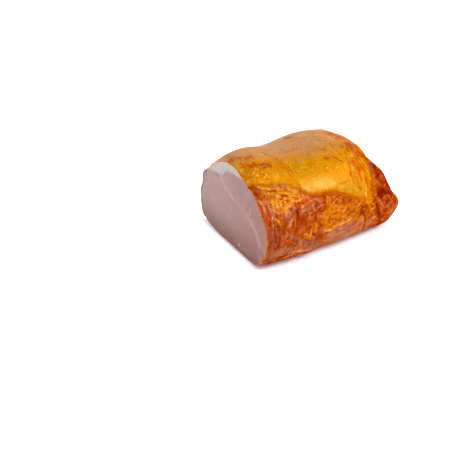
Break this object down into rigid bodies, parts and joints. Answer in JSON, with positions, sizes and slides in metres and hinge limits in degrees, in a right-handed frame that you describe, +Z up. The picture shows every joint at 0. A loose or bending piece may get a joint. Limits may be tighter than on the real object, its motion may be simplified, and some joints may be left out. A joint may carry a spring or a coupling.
{
  "type": "smoked loin ham",
  "caption": "Boneless smoked loin ham with a layer of fat over its back, cut flat at one end and tied to a knob at the other, lying on its flat side.",
  "frame": {"origin": "on the table, under the middle of the ham's bounding box", "axes": "+X from the cut face to the tied tail, +Z up, -Y towards the side with the folded seam"},
  "size_m": [0.162, 0.1202, 0.0899],
  "materials": {
    "lean": "smoked meat: brown-red outside, pale pink where it is cut",
    "fat_cap": "smoked fat: golden and glossy outside, cream white where it is cut"
  },
  "bodies": {
    "root": {"lean": "lean", "fat_cap": "fat_cap"}
  },
  "joints": []
}
